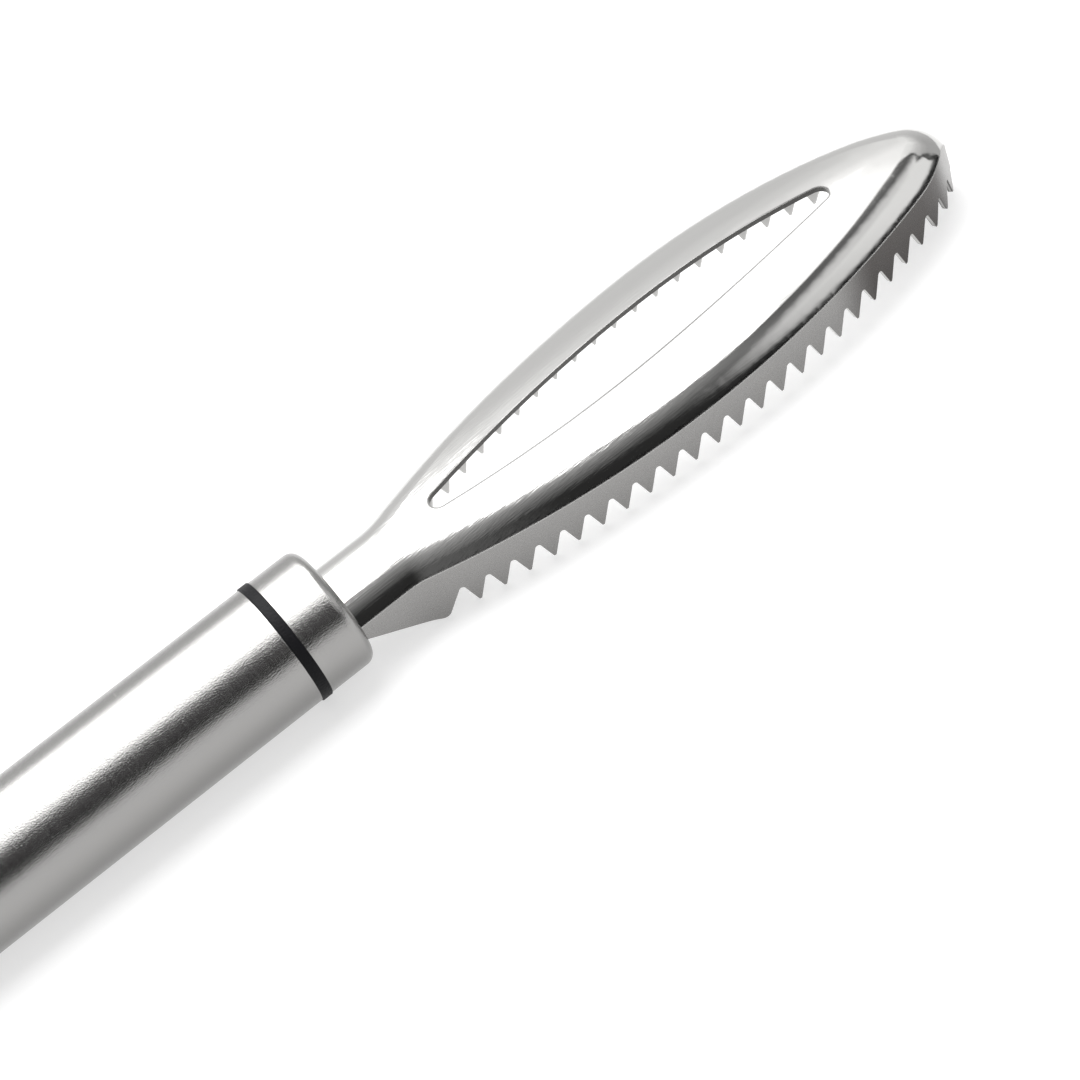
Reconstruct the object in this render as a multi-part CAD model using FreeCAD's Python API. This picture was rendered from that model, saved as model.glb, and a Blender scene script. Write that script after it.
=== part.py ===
import FreeCAD, Part

import math
import os

from FreeCAD import Vector

# A hand-held fish scaler: a pressed stainless head with saw teeth round its rim, carried by a round hollow
# handle. Sizes are in millimetres. While it is built, the handle's axis is the X axis, the teeth point
# down, and X is 0 where the collar meets the black band. The last step rolls it to the way it lies.

# Handle
handle_radius = 11.0
tube_wall = 0.8
tube_length = 113.0
tail_steps = 3
band_width = 2.0
band_stand = 0.2
band_bevel = 0.15
collar_length = 9.2
collar_wall = 0.8
collar_edge_radius = 2.0
plug_depth = 16.0
plug_bevel = 1.0
spigot_gap = 0.8
fit_gap = 0.1

# Head, seen from above: nose, cheeks and long sides meet without a corner
sheet = 0.9
head_reach = 139.4
widest_x = 80.0
widest_half = 18.15
rear_side_radius = 180.0
front_turn = 19.5
cheek_turn = 30.0
nose_share = 0.115
neck_half = 8.2
shoulder_radius = 12.0

# Crown, seen from the side: heights at stations along the head, the last one beyond the tip
neck_crown = 3.9
crown_stations = [
    (40.0, 4.75),
    (58.0, 5.8),
    (75.0, 6.65),
    (92.0, 7.0),
    (108.0, 6.4),
    (122.0, 5.2),
    (136.0, 3.4),
    (153.0, 0.4),
]
crown_radius = 40.0
crown_block = 50.0

# Rounded rim between the crown and the flange
rim_radius = 7.4
crease_lean = 30.0
die_nose_spare = 0.7
die_cheek_turn = 15.0

# Slot in the crown
slot_rear_x = 30.55
slot_tip_gap = 23.55
slot_half_width = 6.05
slot_end_radius = 1.9

# Saw teeth on the flange, set a little wider round the nose
tooth_pitch = 4.62
nose_teeth = 5
nose_stretch = 1.5
teeth_a_side = 25
tooth_depth = 4.9
tooth_tip_half = 0.2
tooth_root_radius = 0.55
steep_share = 0.4
tooth_line_x = 92.0
tooth_line_z = -6.75
tooth_line_rear_drop = 2.35
tooth_line_front_drop = 3.3

# Plain end of the flange, beside the collar
plain_start_z = -2.7
plain_corner_x = 22.5
plain_corner_z = -10.1
plain_corner_radius = 1.2
plain_root_gap = 1.7

# Tang inside the plug
tang_half = 6.0
tang_length = 20.0

# Longer than any cut needs to be
far = 60.0


def direction(angle):
    return Vector(math.cos(angle), math.sin(angle), 0)


def arc_chain(widest, radii, turns):
    """Arcs of one side of an outline as centre, radius, first angle and last angle, from the tip back to
    the neck. The radii and turns are those of the long side's front, the cheek and the nose."""
    rear_radius = rear_side_radius + widest - widest_half
    rear_centre = Vector(widest_x, widest - rear_radius, 0)
    shoulder = shoulder_centre()
    to_shoulder = shoulder - rear_centre
    chain = [(rear_centre, rear_radius, math.pi / 2, math.atan2(to_shoulder.y, to_shoulder.x))]
    angle = math.pi / 2
    point = Vector(widest_x, widest, 0)
    for radius, turn in zip(radii, turns):
        centre = point - direction(angle) * radius
        chain.insert(0, (centre, radius, angle - turn, angle))
        angle -= turn
        point = centre + direction(angle) * radius
    return chain


def shoulder_centre():
    """Centre of the hollow arc that leads from the head's long side into the neck."""
    rear_y = widest_half - rear_side_radius
    y = neck_half + shoulder_radius
    reach = math.sqrt((rear_side_radius + shoulder_radius)**2 - (y - rear_y)**2)
    return Vector(widest_x - reach, y, 0)


def flange_chain():
    """Arcs of the flange's outline. The long side's and the cheek's radius follow from the head's length
    and width, and the nose is a share of the cheek."""
    front = math.radians(front_turn)
    both = math.radians(front_turn + cheek_turn)
    front_x = math.sin(front)
    front_y = 1 - math.cos(front)
    cheek_x = math.sin(both) - math.sin(front) + nose_share * (1 - math.sin(both))
    cheek_y = math.cos(front) - math.cos(both) + nose_share * math.cos(both)
    reach = head_reach - widest_x
    scale = front_x * cheek_y - cheek_x * front_y
    front_radius = (reach * cheek_y - widest_half * cheek_x) / scale
    cheek_radius = (widest_half * front_x - reach * front_y) / scale
    radii = (front_radius, cheek_radius, nose_share * cheek_radius)
    turns = (front, both - front, math.pi / 2 - both)
    return arc_chain(widest_half, radii, turns)


def die_chain():
    """Arcs of the die that rounds the rim: wider than the flange, and blunt enough at the nose for the
    rim's radius."""
    widest = widest_half + rim_radius * (1 - math.cos(math.radians(crease_lean)))
    front_radius = flange_chain()[2][1] + widest - widest_half
    nose_radius = rim_radius + die_nose_spare
    front = math.radians(front_turn)
    both = front + math.radians(die_cheek_turn)
    left = widest - front_radius * (1 - math.cos(front)) - nose_radius * math.cos(both)
    cheek_radius = left / (math.cos(front) - math.cos(both))
    turns = (front, both - front, math.pi / 2 - both)
    return arc_chain(widest, (front_radius, cheek_radius, nose_radius), turns)


def mirrored(point):
    return Vector(point.x, -point.y, point.z)


def arc_edge(centre, radius, first, last, flip):
    """Arc of a circle between two angles, mirrored if flip says so."""
    points = [centre + direction(angle) * radius for angle in (first, (first + last) / 2, last)]
    if flip:
        points = [mirrored(point) for point in points]
    return Part.Arc(*points).toShape()


def plan_block(chain, inset):
    """Tall block with the outline of a chain moved inwards by inset, and a long straight neck."""
    shoulder = shoulder_centre()
    extra = chain[-1][1] - rear_side_radius
    hollow = shoulder_radius - extra + inset
    last_angle = chain[-1][3]
    neck_end = Vector(shoulder.x, shoulder.y - hollow, 0)
    neck_rear = Vector(-far / 2, neck_end.y, 0)
    edges = []
    for flip in (False, True):
        for centre, radius, first, last in chain:
            edges.append(arc_edge(centre, radius - inset, first, last, flip))
        edges.append(arc_edge(shoulder, hollow, last_angle + math.pi, 3 * math.pi / 2, flip))
        ends = [neck_end, neck_rear]
        if flip:
            ends = [mirrored(point) for point in ends]
        edges.append(Part.makeLine(*ends))
    edges.append(Part.makeLine(neck_rear, mirrored(neck_rear)))
    face = Part.Face(Part.Wire(Part.__sortEdges__(edges)))
    face.translate(Vector(0, 0, -far / 2))
    return face.extrude(Vector(0, 0, far))


def crown_block_body(inset):
    """Long block whose top is the crown: an arc across, swept level over the neck, then along the bow."""
    points = [Vector(shoulder_centre().x, 0, neck_crown - inset)]
    for x, z in crown_stations:
        points.append(Vector(x, 0, z - inset))
    curve = Part.BSplineCurve()
    curve.interpolate(points, InitialTangent=Vector(1, 0, 0), FinalTangent=points[-1] - points[-2])
    start = Vector(-far, 0, neck_crown - inset)
    path = Part.Wire([Part.makeLine(start, points[0]), curve.toShape()])
    radius = crown_radius - inset
    half = crown_block / 2
    side_z = math.sqrt(radius**2 - half**2) - radius
    left = start + Vector(0, -half, side_z)
    right = start + Vector(0, half, side_z)
    low = Vector(0, 0, -far)
    section = Part.Wire([
        Part.Arc(left, start, right).toShape(),
        Part.makeLine(right, right + low),
        Part.makeLine(right + low, left + low),
        Part.makeLine(left + low, left),
    ])
    return path.makePipeShell([section], True, False)


def head_skin(inset):
    """Solid inside the head's outer skin, moved inwards by inset. The rim is rounded on the die's body and
    cut back to the flange, which leaves the crisp line above the flange."""
    blank = plan_block(die_chain(), inset).common(crown_block_body(inset))
    top_edges = []
    for edge in blank.Edges:
        box = edge.BoundBox
        if box.ZMin > -far / 4 and box.XMax > 1 - far / 2:
            top_edges.append(edge)
    rounded = blank.makeFillet(rim_radius - inset, top_edges)
    return rounded.common(plan_block(flange_chain(), inset))


def head_shell(gap):
    """The pressed sheet before it is cut, thickened by gap on both faces where a slit needs it."""
    return head_skin(-gap).cut(head_skin(sheet + gap))


def outline_at(distance):
    """Point, and direction along the rim towards the neck, at a distance from the tip round the rim."""
    for centre, radius, first, last in flange_chain():
        length = radius * (last - first)
        if distance <= length:
            break
        distance -= length
    angle = first + distance / radius
    return centre + direction(angle) * radius, direction(angle + math.pi / 2)


def tooth_distance(number):
    """Distance round the rim from the tip to a tooth, counted from the one at the tip."""
    return tooth_pitch * number + nose_stretch * min(number / nose_teeth, 1)


def tooth_point(number):
    """Tip of a tooth: the line through the tips is bowed along the head and turned down round the nose."""
    place = outline_at(tooth_distance(number))[0]
    if place.x < tooth_line_x:
        last_x = outline_at(tooth_distance(teeth_a_side))[0].x
        share = (tooth_line_x - place.x) / (tooth_line_x - last_x)
        height = tooth_line_z - tooth_line_rear_drop * share**2
    else:
        share = (place.x - tooth_line_x) / (head_reach - tooth_line_x)
        height = tooth_line_z - tooth_line_front_drop * share**4
    return Vector(place.x, place.y, height)


def rounded_face(corners):
    """Face in the XZ plane with its corners rounded. Each corner is x, z and a radius."""
    points = [Vector(x, 0, z) for x, z, radius in corners]
    count = len(corners)
    edges = []
    starts = []
    ends = []
    for index, point in enumerate(points):
        radius = corners[index][2]
        start = point
        end = point
        if radius > 0:
            back = (points[index - 1] - point).normalize()
            ahead = (points[(index + 1) % count] - point).normalize()
            half_angle = back.getAngle(ahead) / 2
            start = point + back * (radius / math.tan(half_angle))
            end = point + ahead * (radius / math.tan(half_angle))
            middle = point + (back + ahead).normalize() * (radius / math.sin(half_angle) - radius)
            edges.append(Part.Arc(start, middle, end).toShape())
        starts.append(start)
        ends.append(end)
    for index in range(count):
        start = ends[index]
        end = starts[(index + 1) % count]
        if not start.isEqual(end, 1e-6):
            edges.append(Part.makeLine(start, end))
    return Part.Face(Part.Wire(Part.__sortEdges__(edges)))


def notch_cutter(number):
    """Cutter for the notch between a tooth and the next one towards the neck."""
    span = tooth_distance(number + 1) - tooth_distance(number)
    place, along = outline_at(tooth_distance(number) + span / 2)
    this_z = tooth_point(number).z
    next_z = tooth_point(number + 1).z
    root_t = (steep_share - 0.5) * span
    root_z = this_z + (next_z - this_z) * steep_share + tooth_depth
    reach = span / 2
    past = reach + tooth_tip_half
    face = rounded_face([
        (-past, this_z, 0),
        (-reach + tooth_tip_half, this_z, 0),
        (root_t, root_z, tooth_root_radius),
        (reach - tooth_tip_half, next_z, 0),
        (past, next_z, 0),
        (past, -far, 0),
        (-past, -far, 0),
    ])
    deep = 4 * sheet
    cutter = face.extrude(Vector(0, -2 * deep, 0))
    cutter.translate(Vector(0, deep, 0))
    cutter.rotate(Vector(0, 0, 0), Vector(0, 0, 1), math.degrees(math.atan2(along.y, along.x)))
    cutter.translate(place)
    return cutter


def plain_cutter():
    """Cutter under the plain end of the flange, up to the first tooth."""
    tooth = tooth_point(teeth_a_side)
    slope = (plain_corner_z - plain_start_z) / (plain_corner_x - collar_length)
    rear_x = -far / 2
    rear_z = plain_start_z + slope * (rear_x - collar_length)
    face = rounded_face([
        (rear_x, rear_z, 0),
        (plain_corner_x, plain_corner_z, plain_corner_radius),
        (tooth.x - plain_root_gap, tooth.z + tooth_depth, tooth_root_radius),
        (tooth.x - tooth_tip_half, tooth.z, 0),
        (tooth.x + tooth_tip_half, tooth.z, 0),
        (tooth.x + tooth_tip_half, -far, 0),
        (rear_x, -far, 0),
    ])
    cutter = face.extrude(Vector(0, 2 * far, 0))
    cutter.translate(Vector(0, -far, 0))
    return cutter


def slot_cutter():
    """Leaf-shaped slot with round ends."""
    front_x = head_reach - slot_tip_gap
    half_length = (front_x - slot_rear_x) / 2
    straight = half_length - slot_end_radius
    rise = slot_half_width - slot_end_radius
    side_radius = (straight**2 + slot_half_width**2 - slot_end_radius**2) / (2 * rise)
    side_centre = Vector(0, slot_half_width - side_radius, 0)
    end_centre = Vector(straight, 0, 0)
    meet = end_centre + (end_centre - side_centre).normalize() * slot_end_radius
    edges = []
    for sign in (1, -1):
        crest = Vector(0, sign * slot_half_width, 0)
        tip = Vector(sign * half_length, 0, 0)
        side_ends = [Vector(x_sign * meet.x, sign * meet.y, 0) for x_sign in (1, -1)]
        end_ends = [Vector(sign * meet.x, y_sign * meet.y, 0) for y_sign in (1, -1)]
        edges.append(Part.Arc(side_ends[0], crest, side_ends[1]).toShape())
        edges.append(Part.Arc(end_ends[0], tip, end_ends[1]).toShape())
    face = Part.Face(Part.Wire(Part.__sortEdges__(edges)))
    face.translate(Vector((front_x + slot_rear_x) / 2, 0, -far / 2))
    return face.extrude(Vector(0, 0, far))


def box(x_range, y_range, z_range):
    size = [high - low for low, high in (x_range, y_range, z_range)]
    return Part.makeBox(*size, Vector(x_range[0], y_range[0], z_range[0]))


def make_head():
    """Crown, flange with teeth, neck, and the flat tang that the plug grips."""
    head = head_shell(0).cut(box((-far, collar_length - tang_length), (-far, far), (-far, far)))
    neck_rear = collar_length - collar_wall - spigot_gap / 2
    for side_range in ((tang_half, far), (-far, -tang_half)):
        head = head.cut(box((-far, neck_rear), side_range, (-far, far)))
    cutters = [slot_cutter(), plain_cutter()]
    for number in range(teeth_a_side):
        cutter = notch_cutter(number)
        cutters.append(cutter)
        cutters.append(cutter.mirror(Vector(0, 0, 0), Vector(0, 1, 0)))
    return head.cut(cutters)


def turned(corners):
    """Solid turned about the handle's axis from half a section with rounded corners."""
    return rounded_face(corners).revolve(Vector(0, 0, 0), Vector(1, 0, 0), 360)


def make_collar():
    """Front cap of the handle, round outside and bevelled inside, and slit for the neck."""
    inner_end = collar_length - collar_wall
    inner_radius = handle_radius - collar_wall
    bevel = collar_edge_radius - collar_wall
    cap = turned([
        (0, handle_radius, 0),
        (collar_length, handle_radius, collar_edge_radius),
        (collar_length, 0, 0),
        (inner_end, 0, 0),
        (inner_end, inner_radius - bevel, 0),
        (inner_end - bevel, inner_radius, 0),
        (0, inner_radius, 0),
    ])
    neck = box((0, 2 * collar_length), (-far, far), (plain_start_z - fit_gap, far))
    return cap.cut(head_shell(fit_gap).common(neck))


def make_plug():
    """Moulded insert: spigot in the collar, the black band, and a stub in the tube, with a slit that the
    tang fills to its end."""
    inside = handle_radius - tube_wall - fit_gap
    spigot = collar_length - collar_wall - spigot_gap
    band_radius = handle_radius + band_stand
    rear = -band_width - plug_depth
    body = turned([
        (spigot, 0, 0),
        (spigot, inside - plug_bevel, 0),
        (spigot - plug_bevel, inside, 0),
        (0, inside, 0),
        (0, band_radius - band_bevel, 0),
        (-band_bevel, band_radius, 0),
        (band_bevel - band_width, band_radius, 0),
        (-band_width, band_radius - band_bevel, 0),
        (-band_width, inside, 0),
        (rear + plug_bevel, inside, 0),
        (rear, inside - plug_bevel, 0),
        (rear, 0, 0),
    ])
    half = tang_half + fit_gap
    tang_room = box((collar_length - tang_length, far), (-half, half), (0, far))
    return body.cut(head_shell(fit_gap).common(tang_room))


def make_tube():
    """Hollow handle with a round tail. Inside, the tail is hollowed in straight steps."""
    front = -band_width
    tail = front - tube_length
    bore = handle_radius - tube_wall
    tail_centre = tail + handle_radius
    inside = []
    for step in range(tail_steps + 1):
        angle = math.pi / 2 * step / tail_steps
        inside.append((tail_centre - bore * math.cos(angle), bore * math.sin(angle), 0))
    return turned([
        (front, handle_radius, 0),
        (tail, handle_radius, handle_radius),
        (tail, 0, 0),
        *inside,
        (front, bore, 0),
    ])


def resting_roll(head):
    """Angle that the round handle rolls through before the head's lower edge touches what it lies on."""
    reach = handle_radius + band_stand
    rolls = []
    for point in head.tessellate(0.1)[0]:
        distance = math.hypot(point.y, point.z)
        if point.y < 0 and distance > reach:
            rolls.append(math.atan2(-point.y, -point.z) - math.acos(reach / distance))
    return min(rolls)


def lay_down(pieces):
    """Roll the pieces to the way they lie, and put the origin under the middle of their box."""
    roll = math.degrees(resting_roll(pieces["scaler_head"]))
    for shape in pieces.values():
        shape.rotate(Vector(0, 0, 0), Vector(1, 0, 0), roll)
    bounds = Part.makeCompound(list(pieces.values())).optimalBoundingBox()
    for shape in pieces.values():
        shape.translate(Vector(-bounds.Center.x, -bounds.Center.y, -bounds.ZMin))
    moved = [round(value, 3) for value in (bounds.Center.x, bounds.Center.y, bounds.ZMin)]
    print("roll", round(roll, 2), "moved", moved)


def main():
    pieces = {
        "scaler_head": make_head(),
        "front_collar": make_collar(),
        "handle_plug": make_plug(),
        "handle_tube": make_tube(),
    }
    lay_down(pieces)
    os.makedirs("parts", exist_ok=True)
    for name, shape in pieces.items():
        print(name, shape.isValid(), len(shape.Solids), round(shape.Volume, 2))
        shape.exportStep("parts/" + name + ".step")


main()
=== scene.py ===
import math

import bpy
from mathutils import Matrix, Vector

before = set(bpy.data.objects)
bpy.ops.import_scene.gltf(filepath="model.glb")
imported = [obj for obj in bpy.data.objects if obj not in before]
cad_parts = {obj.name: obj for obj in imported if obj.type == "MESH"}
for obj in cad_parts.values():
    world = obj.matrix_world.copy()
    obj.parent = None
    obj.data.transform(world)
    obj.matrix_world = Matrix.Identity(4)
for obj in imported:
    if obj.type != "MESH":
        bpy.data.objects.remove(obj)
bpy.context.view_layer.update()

# The camera, placed and turned as a fit to the photograph gave it. Lengths are in metres.
camera_place = Vector((-0.051443, -0.343372, 0.248177))
camera_right = Vector((0.77093, -0.48778, -0.40956))
camera_down = Vector((-0.60763, -0.3705, -0.70251))
camera_forward = Vector((0.19093, 0.79044, -0.58202))
lens_millimetres = 87.07
sensor_millimetres = 36.0

# The floor is a sheet of pale acrylic lit from below, so shadows on it stay light.
floor_size = 30.0
floor_grey = 0.5
floor_glow = 0.6
floor_roughness = (0.75, 0.85)

# The room's light at heights above the horizon, in degrees: dark before the object, where the camera
# is, dim at its sides, and pale behind it. Overhead it is white all round. Only reflections and shade
# come from it: past the floor's edge, a plain white backdrop is seen.
room_before = [(0, 0.05), (10, 0.035), (33, 0.035), (45, 0.15), (60, 0.3), (72, 0.5), (80, 1.0), (87, 2.2)]
room_beside = [(0, 0.4), (38, 0.4), (46, 0.18)]
room_above_beside = [(68, 0.0), (73, 0.1), (77, 1.6), (87, 2.2)]
room_behind = [(0, 0.9), (25, 0.9), (33, 1.02), (38, 1.25), (45, 1.65), (52, 2.2), (87, 2.4)]

# Turns round the room are in degrees from the front. The front fades into the sides between two of
# them, the edge of the white overhead sinks from the sides to the back, and the front's left is paler.
beside_from, beside_to = 20.0, 60.0
rise_from, rise_to = 62.0, 125.0
beside_rise = 26.0
left_from, left_to = -3.0, -22.0
left_light = 0.13

# How far the sides reach round, in degrees from the front, at heights above the horizon.
side_reach = [(15, 80), (34, 86), (50, 114), (62, 122)]
side_blend = 3.0
behind_dim_from, behind_dim_to = 100.0, 150.0
behind_dimmest = 0.68

# A dark line lies along the horizon at the front and sides, and up along the sides' end.
line_dark = 0.08
horizon_low, horizon_high = 6.0, 12.0
side_line_half, side_line_soft = 0.8, 2.6
side_line_top_from, side_line_top_to = 44.0, 52.0
room_strength = 1.0

# A soft round window at the front right. Its angles are in degrees. It fades out between two distances
# from its middle, each the square of a share of its size.
window_turn, window_height = 60.0, 32.0
window_half_width, window_half_height = 46.0, 27.0
window_edge, window_full = 1.2, 0.35
window_light = 0.8

overhead_power = 5.5
overhead_size = 0.9
overhead_place = Vector((0.1, 0.3, 0.95))

# A long soft box over the handle, which lights only the handle and its collar.
soft_box_power = 4.8
soft_box_length = 0.8
soft_box_width = 0.48
soft_box_place = Vector((0.06, -0.01, 0.56))
handle_middle = Vector((-0.06, 0.0, 0.01))

polished_colour = (0.58, 0.575, 0.565)
# The colour of the painted dark reflection line along the slot's near edge.
polished_painted_reflection_line_colour = (0.14, 0.138, 0.136)
satin_colour = (0.32, 0.316, 0.31)
flange_colour = (0.3, 0.295, 0.29)
# The colour of the painted dark reflection on the flange's last teeth on the near side.
flange_painted_reflection_colour = (0.085, 0.079, 0.076)
# The slot's cut walls are painted near black as shade.
slot_painted_shade_colour = (0.12, 0.118, 0.115)
plastic_colour = (0.005, 0.005, 0.006)
plastic_specular = 0.1

# Roughness from the smoothest spots to the roughest.
polished_roughness = (0.03, 0.22)
satin_roughness = (0.18, 0.3)
dull_roughness = (0.22, 0.34)
plastic_roughness = (0.35, 0.6)

# Each noise has a scale and a detail, and each bump has a strength and a depth. Hairline scratches run
# along the head and fade towards the nose, and its sheet is slightly wavy.
along_head = (0.07, 1.0, 1.0)
scratch_noise = (3400.0, 3.0)
scratch_bump = (0.6, 0.00004)
scratch_end, scratch_full = 0.09, 0.05
scratches_at_nose = 0.08
smudge_noise = (60.0, 4.0)
wave_noise = (45.0, 2.0)
wave_bump = (0.1, 0.0006)

# Edges look rounded, the slot's less than those past it and beside it.
slot_edge_radius, rim_edge_radius = 0.0002, 0.00045
past_slot_from, past_slot_to = 0.104, 0.11
beside_slot_from, beside_slot_to = 0.0068, 0.0085
edge_samples = 4

# Fine rings run round the handle, with grain over them.
round_handle = (1.0, 0.08, 0.08)
ring_noise = (3200.0, 3.0)
ring_bump = (0.5, 0.00006)
satin_grain_noise = (4200.0, 2.0)
satin_grain_bump = (0.6, 0.000065)

# The duller steel and the plastic have grain alone, and the floor only a little unevenness in its gloss.
dull_grain_noise = (3500.0, 3.0)
dull_grain_bump = (0.25, 0.00003)
plastic_grain_noise = (2500.0, 3.0)
plastic_grain_bump = (0.8, 0.00015)
floor_noise = (30.0, 2.0)

# A painted dark reflection runs as a line along the slot's near edge, where the metal behind the surface
# is thin. These are places across the head, in metres from the frame's middle.
edge_line_width = 0.0005
thin_metal, thick_metal = 0.8, 0.97
thickness_samples = 8
line_near_from, line_near_to = -0.009, -0.008
line_far_from, line_far_to = 0.0, 0.004

# A painted dark reflection makes the flange darker along its last teeth on the near side, between these
# places along and across.
painted_reflection_from, painted_reflection_to = 0.089, 0.1
painted_reflection_fade_from, painted_reflection_fade_to = 0.119, 0.124
painted_reflection_side_from, painted_reflection_side_to = 0.002, -0.004

# How the flange's faces are found: how far they lean, how far up the tooth tips reach, and how much
# two faces side by side may turn.
wall_slope = 0.35
tip_height = 0.0012
head_middle = Vector((0.06, 0.0, 0.008))
wall_turn = math.radians(20.0)

# Steep faces within these bounds are the cut walls of the slot, which are painted near black as shade.
slot_rear, slot_front = 0.018, 0.104
slot_reach = 0.0063
slot_slope = 0.6


class Nodes:
    """Adds nodes to one tree and links them."""

    def __init__(self, tree):
        self.tree = tree

    def add(self, kind, **settings):
        node = self.tree.nodes.new(kind)
        for name, value in settings.items():
            setattr(node, name, value)
        return node

    def link(self, out_socket, in_socket):
        self.tree.links.new(out_socket, in_socket)

    def math(self, operation, *values):
        """A sum of numbers or of other nodes' outputs."""
        node = self.add("ShaderNodeMath", operation=operation)
        for socket, value in zip(node.inputs, values):
            if isinstance(value, (int, float)):
                socket.default_value = value
            else:
                self.link(value, socket)
        return node.outputs["Value"]

    def map_range(self, curve, source, start, end, low, high):
        node = self.add("ShaderNodeMapRange", interpolation_type=curve)
        for name, value in (("From Min", start), ("From Max", end), ("To Min", low), ("To Max", high)):
            node.inputs[name].default_value = value
        self.link(source, node.inputs["Value"])
        return node.outputs["Result"]

    def smooth(self, source, start, end, low=0.0, high=1.0):
        """Goes softly from low to high while the source goes from start to end."""
        return self.map_range("SMOOTHSTEP", source, start, end, low, high)

    def mix(self, share, low, high):
        """A number between two outputs. The node's names repeat, so its sockets are picked by number."""
        node = self.add("ShaderNodeMix")
        self.link(share, node.inputs[0])
        self.link(low, node.inputs[2])
        self.link(high, node.inputs[3])
        return node.outputs[0]

    def steps(self, source, stops):
        """A soft curve through stops, each a value of the source and the light there."""
        total = stops[0][1]
        for (start, low), (end, high) in zip(stops, stops[1:]):
            total = self.math("ADD", total, self.smooth(source, start, end, 0.0, high - low))
        return total

    def fit_range(self, source, low, high, start=0.0, end=1.0):
        """Goes evenly from low to high while the source goes from start to end."""
        return self.map_range("LINEAR", source, start, end, low, high)

    def place(self, scale=(1.0, 1.0, 1.0)):
        """The point in the piece's own frame, scaled along each axis."""
        source = self.add("ShaderNodeTexCoord")
        node = self.add("ShaderNodeMapping")
        node.inputs["Scale"].default_value = scale
        self.link(source.outputs["Object"], node.inputs["Vector"])
        return node.outputs["Vector"]

    def noise(self, where, scale, detail):
        node = self.add("ShaderNodeTexNoise")
        node.inputs["Scale"].default_value = scale
        node.inputs["Detail"].default_value = detail
        self.link(where, node.inputs["Vector"])
        return node.outputs["Fac"]

    def edges(self, radius):
        """The surface's own normal, softened at its edges as if they had that radius."""
        node = self.add("ShaderNodeBevel", samples=edge_samples)
        self.link(radius, node.inputs["Radius"])
        return node.outputs["Normal"]

    def thickness_share(self, distance):
        """1 where the metal behind the surface is thicker than the distance, less near an edge."""
        node = self.add("ShaderNodeAmbientOcclusion", inside=True, samples=thickness_samples)
        node.inputs["Distance"].default_value = distance
        return node.outputs["AO"]

    def blend(self, share, first_colour, second_colour):
        """A colour between two, with the sockets picked by number as above."""
        node = self.add("ShaderNodeMix", data_type="RGBA")
        self.link(share, node.inputs[0])
        node.inputs[6].default_value = (*first_colour, 1.0)
        node.inputs[7].default_value = (*second_colour, 1.0)
        return node.outputs[2]

    def bump(self, height, strength, distance, normal=None):
        node = self.add("ShaderNodeBump")
        node.inputs["Strength"].default_value = strength
        node.inputs["Distance"].default_value = distance
        self.link(height, node.inputs["Height"])
        if normal is not None:
            self.link(normal, node.inputs["Normal"])
        return node.outputs["Normal"]


def new_material(name, metallic, colour):
    material = bpy.data.materials.new(name)
    material.use_nodes = True
    nodes = Nodes(material.node_tree)
    shader = material.node_tree.nodes["Principled BSDF"]
    shader.inputs["Metallic"].default_value = metallic
    shader.inputs["Base Color"].default_value = (*colour, 1.0)
    return material, nodes, shader


def add_grain(nodes, shader, noise, roughness, bump):
    """Gives a surface one grain, in its gloss and as a bump."""
    grain = nodes.noise(nodes.place(), *noise)
    nodes.link(nodes.fit_range(grain, *roughness), shader.inputs["Roughness"])
    nodes.link(nodes.bump(grain, *bump), shader.inputs["Normal"])


def polished_steel():
    material, nodes, shader = new_material("polished_steel", 1.0, polished_colour)
    where = nodes.place()
    split = nodes.add("ShaderNodeSeparateXYZ")
    nodes.link(where, split.inputs["Vector"])
    # A painted dark reflection line along the slot's near edge.
    at_edge = nodes.smooth(nodes.thickness_share(edge_line_width), thick_metal, thin_metal)
    before_far_side = nodes.smooth(split.outputs["Y"], line_far_to, line_far_from)
    past_near_rim = nodes.smooth(split.outputs["Y"], line_near_from, line_near_to)
    line = nodes.math("MULTIPLY", at_edge, nodes.math("MULTIPLY", before_far_side, past_near_rim))
    nodes.link(nodes.blend(line, polished_colour, polished_painted_reflection_line_colour), shader.inputs["Base Color"])
    scratches = nodes.noise(nodes.place(along_head), *scratch_noise)
    smudges = nodes.noise(where, *smudge_noise)
    wear = nodes.math("MULTIPLY", scratches, smudges)
    nodes.link(nodes.fit_range(wear, *polished_roughness), shader.inputs["Roughness"])
    past_slot = nodes.smooth(split.outputs["X"], past_slot_from, past_slot_to)
    across = nodes.math("ABSOLUTE", split.outputs["Y"])
    beside_slot = nodes.smooth(across, beside_slot_from, beside_slot_to)
    off_slot = nodes.math("MAXIMUM", past_slot, beside_slot)
    radius = nodes.fit_range(off_slot, slot_edge_radius, rim_edge_radius)
    waves = nodes.noise(where, *wave_noise)
    wavy = nodes.bump(waves, *wave_bump, nodes.edges(radius))
    rear_share = nodes.smooth(split.outputs["X"], scratch_end, scratch_full, scratches_at_nose, 1.0)
    hairs = nodes.math("MULTIPLY", scratches, rear_share)
    nodes.link(nodes.bump(hairs, *scratch_bump, wavy), shader.inputs["Normal"])
    return material


def satin_steel():
    material, nodes, shader = new_material("satin_steel", 1.0, satin_colour)
    rings = nodes.noise(nodes.place(round_handle), *ring_noise)
    grain = nodes.noise(nodes.place(), *satin_grain_noise)
    nodes.link(nodes.fit_range(rings, *satin_roughness), shader.inputs["Roughness"])
    brushed = nodes.bump(rings, *ring_bump)
    nodes.link(nodes.bump(grain, *satin_grain_bump, brushed), shader.inputs["Normal"])
    return material


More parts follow.
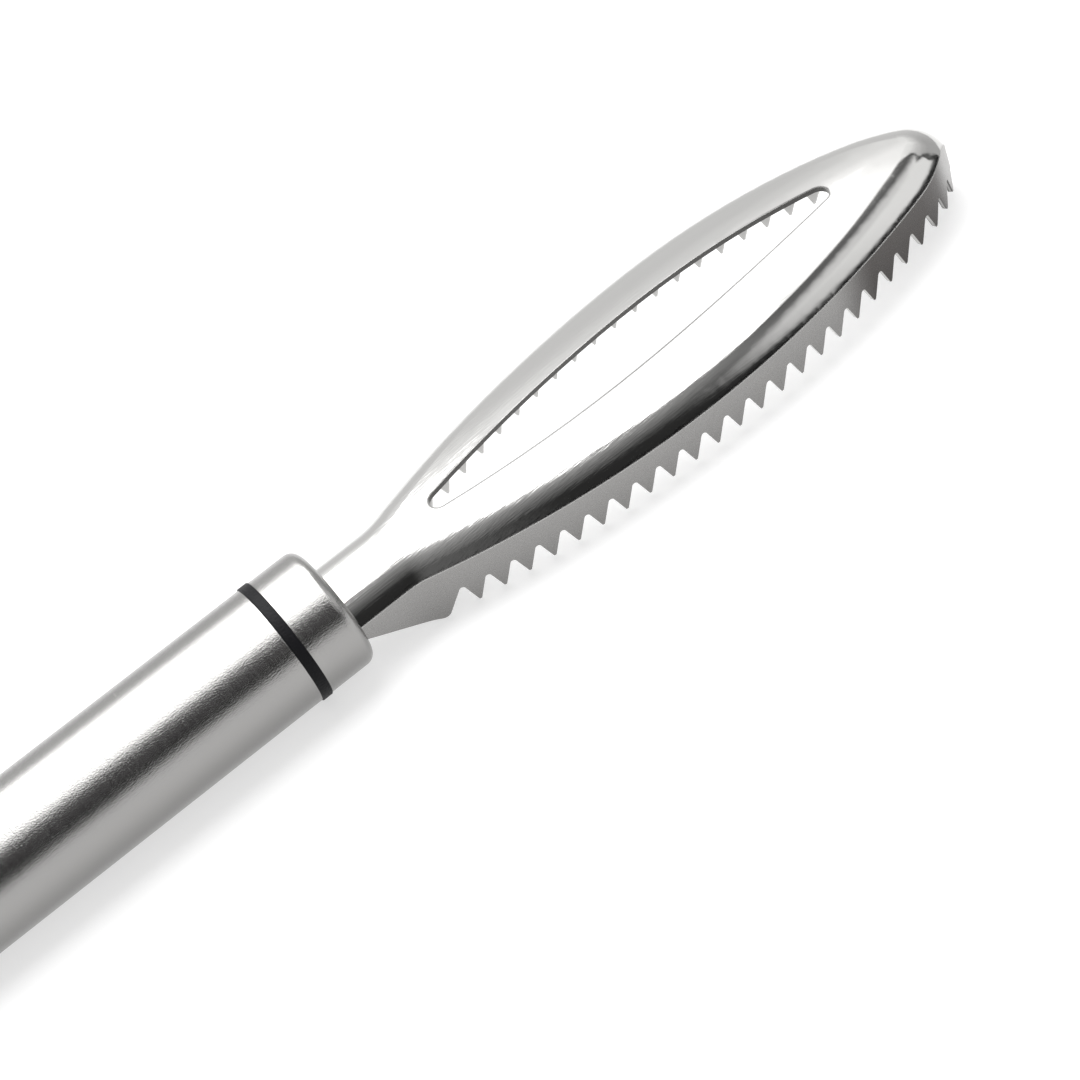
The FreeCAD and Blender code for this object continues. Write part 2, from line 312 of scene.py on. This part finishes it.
def flange_steel():
    """Duller steel, with a painted dark reflection along the last teeth on the near side."""
    material, nodes, shader = new_material("flange_steel", 1.0, flange_colour)
    split = nodes.add("ShaderNodeSeparateXYZ")
    nodes.link(nodes.place(), split.inputs["Vector"])
    # A painted dark reflection darkens the last teeth on the near side.
    past_start = nodes.smooth(split.outputs["X"], painted_reflection_from, painted_reflection_to)
    before_end = nodes.smooth(split.outputs["X"], painted_reflection_fade_to, painted_reflection_fade_from)
    near_side = nodes.smooth(split.outputs["Y"], painted_reflection_side_from, painted_reflection_side_to)
    painted_reflection_share = nodes.math("MULTIPLY", nodes.math("MULTIPLY", past_start, before_end), near_side)
    nodes.link(nodes.blend(painted_reflection_share, flange_colour, flange_painted_reflection_colour), shader.inputs["Base Color"])
    add_grain(nodes, shader, dull_grain_noise, dull_roughness, dull_grain_bump)
    return material


def slot_painted_shade_steel():
    # The slot's cut walls are painted near black as shade, a dark line along the slot.
    material, nodes, shader = new_material("slot_painted_shade_steel", 1.0, slot_painted_shade_colour)
    add_grain(nodes, shader, dull_grain_noise, dull_roughness, dull_grain_bump)
    return material


def black_plastic():
    material, nodes, shader = new_material("black_plastic", 0.0, plastic_colour)
    shader.inputs["Specular IOR Level"].default_value = plastic_specular
    add_grain(nodes, shader, plastic_grain_noise, plastic_roughness, plastic_grain_bump)
    return material


def floor_material():
    material, nodes, shader = new_material("pale_floor", 0.0, (floor_grey, floor_grey, floor_grey))
    shader.inputs["Emission Color"].default_value = (1.0, 1.0, 1.0, 1.0)
    shader.inputs["Emission Strength"].default_value = floor_glow
    gloss = nodes.noise(nodes.place(), *floor_noise)
    nodes.link(nodes.fit_range(gloss, *floor_roughness), shader.inputs["Roughness"])
    return material


def wall_faces(mesh):
    """The flange's outer faces, found from the tooth tips upward as far as they run smoothly."""
    places = [tuple(round(value, 7) for value in vertex.co) for vertex in mesh.vertices]
    faces_at_edge = {}
    for face in mesh.polygons:
        for first, second in face.edge_keys:
            edge = frozenset((places[first], places[second]))
            faces_at_edge.setdefault(edge, []).append(face.index)
    neighbours = {face.index: set() for face in mesh.polygons}
    for sharing in faces_at_edge.values():
        for index in sharing:
            neighbours[index].update(sharing)
    upright = {face.index for face in mesh.polygons if abs(face.normal.z) < wall_slope}
    floor_height = min(place[2] for place in places)
    tip_top = floor_height + tip_height
    tips = [i for i in upright if min(places[v][2] for v in mesh.polygons[i].vertices) < tip_top]
    found = set(tips)
    waiting = list(tips)
    while waiting:
        index = waiting.pop()
        normal = mesh.polygons[index].normal
        for other in neighbours[index] & upright - found:
            if normal.angle(mesh.polygons[other].normal) < wall_turn:
                found.add(other)
                waiting.append(other)
    outer = set()
    for index in found:
        face = mesh.polygons[index]
        if face.normal.dot(face.center - head_middle) > 0.0:
            outer.add(index)
    return outer


def slot_faces(mesh):
    """The faces of the slot's cut walls."""
    found = set()
    for face in mesh.polygons:
        inside = slot_rear < face.center.x < slot_front and abs(face.center.y) < slot_reach
        if inside and abs(face.normal.z) < slot_slope:
            found.add(face.index)
    return found


def dress(node_name, material, *areas):
    """Gives a piece its material, and each area, a material and a way to find its faces."""
    mesh = bpy.data.objects[node_name].data
    mesh.materials.clear()
    mesh.materials.append(material)
    for face in mesh.polygons:
        face.material_index = 0
    for area_material, find_faces in areas:
        mesh.materials.append(area_material)
        for index in find_faces(mesh):
            mesh.polygons[index].material_index = len(mesh.materials) - 1


def make_floor():
    half = floor_size / 2.0
    corners = [(-half, -half, 0.0), (half, -half, 0.0), (half, half, 0.0), (-half, half, 0.0)]
    mesh = bpy.data.meshes.new("floor")
    mesh.from_pydata(corners, [], [(0, 1, 2, 3)])
    floor = bpy.data.objects.new("floor", mesh)
    bpy.context.scene.collection.objects.link(floor)
    mesh.materials.append(floor_material())


def make_room():
    world = bpy.data.worlds.new("studio")
    bpy.context.scene.world = world
    world.use_nodes = True
    nodes = Nodes(world.node_tree)
    background = world.node_tree.nodes["Background"]
    background.inputs["Strength"].default_value = room_strength
    source = nodes.add("ShaderNodeTexCoord")
    split = nodes.add("ShaderNodeSeparateXYZ")
    nodes.link(source.outputs["Generated"], split.inputs["Vector"])
    before = nodes.math("MULTIPLY", split.outputs["Y"], -1.0)
    turn = nodes.math("DEGREES", nodes.math("ARCTAN2", split.outputs["X"], before))
    height = nodes.math("DEGREES", nodes.math("ARCSINE", split.outputs["Z"]))
    turn_size = nodes.math("ABSOLUTE", turn)
    beside = nodes.smooth(turn_size, beside_from, beside_to)
    rise = nodes.fit_range(turn_size, 0.0, beside_rise, rise_from, rise_to)
    risen = nodes.math("ADD", height, rise)
    from_left = nodes.smooth(turn, left_from, left_to, 0.0, left_light)
    before_light = nodes.math("ADD", nodes.steps(height, room_before), from_left)
    low_light = nodes.steps(height, room_beside)
    beside_light = nodes.math("ADD", low_light, nodes.steps(risen, room_above_beside))
    past_side = nodes.math("SUBTRACT", turn_size, nodes.steps(height, side_reach))
    behind = nodes.smooth(past_side, 0.0, side_blend)
    behind_share = nodes.smooth(turn_size, behind_dim_from, behind_dim_to, behind_dimmest, 1.0)
    behind_light = nodes.math("MULTIPLY", nodes.steps(height, room_behind), behind_share)
    across = nodes.math("DIVIDE", nodes.math("SUBTRACT", turn, window_turn), window_half_width)
    upward = nodes.math("DIVIDE", nodes.math("SUBTRACT", height, window_height), window_half_height)
    upward_square = nodes.math("MULTIPLY", upward, upward)
    from_middle = nodes.math("ADD", nodes.math("MULTIPLY", across, across), upward_square)
    window = nodes.smooth(from_middle, window_edge, window_full, 0.0, window_light)
    side_light = nodes.math("ADD", nodes.mix(beside, before_light, beside_light), window)
    horizon_line = nodes.smooth(height, horizon_low, horizon_high, line_dark, 1.0)
    side_light = nodes.math("MULTIPLY", side_light, horizon_line)
    light = nodes.mix(behind, side_light, behind_light)
    off_line = nodes.math("ABSOLUTE", past_side)
    side_line = nodes.smooth(off_line, side_line_half, side_line_soft, line_dark, 1.0)
    above_line = nodes.smooth(height, side_line_top_from, side_line_top_to)
    below_line = nodes.smooth(height, horizon_high, 0.0)
    shade = nodes.math("MAXIMUM", side_line, nodes.math("MAXIMUM", above_line, below_line))
    room = nodes.math("MULTIPLY", light, shade)
    seen_directly = nodes.add("ShaderNodeLightPath").outputs["Is Camera Ray"]
    nodes.link(nodes.math("MAXIMUM", room, seen_directly), background.inputs["Color"])


def make_lamp(name, power, size, place, target):
    """Soft lamp of a length and a width, turned to face its target."""
    light = bpy.data.lights.new(name, "AREA")
    light.energy = power
    light.shape = "RECTANGLE"
    light.size, light.size_y = size
    lamp = bpy.data.objects.new(name, light)
    lamp.location = place
    lamp.rotation_euler = (target - place).to_track_quat("-Z", "Y").to_euler()
    bpy.context.scene.collection.objects.link(lamp)
    return lamp


def make_lamps():
    make_lamp("overhead", overhead_power, (overhead_size, overhead_size), overhead_place, Vector())
    size = (soft_box_length, soft_box_width)
    soft_box = make_lamp("soft_box", soft_box_power, size, soft_box_place, handle_middle)
    lit = bpy.data.collections.new("lit_by_soft_box")
    for name in ("front_collar", "handle_tube", "handle_plug"):
        lit.objects.link(bpy.data.objects[name])
    soft_box.light_linking.receiver_collection = lit


def make_camera():
    data = bpy.data.cameras.new("camera")
    data.lens = lens_millimetres
    data.sensor_width = sensor_millimetres
    data.sensor_fit = "HORIZONTAL"
    camera = bpy.data.objects.new("camera", data)
    turned = Matrix((camera_right, -camera_down, -camera_forward)).transposed()
    camera.matrix_world = Matrix.Translation(camera_place) @ turned.to_4x4()
    bpy.context.scene.collection.objects.link(camera)
    bpy.context.scene.camera = camera


dress("scaler_head", polished_steel(), (flange_steel(), wall_faces), (slot_painted_shade_steel(), slot_faces))
dress("front_collar", satin_steel())
dress("handle_tube", satin_steel())
dress("handle_plug", black_plastic())
make_floor()
make_room()
make_lamps()
make_camera()
bpy.context.scene.view_settings.view_transform = "Standard"
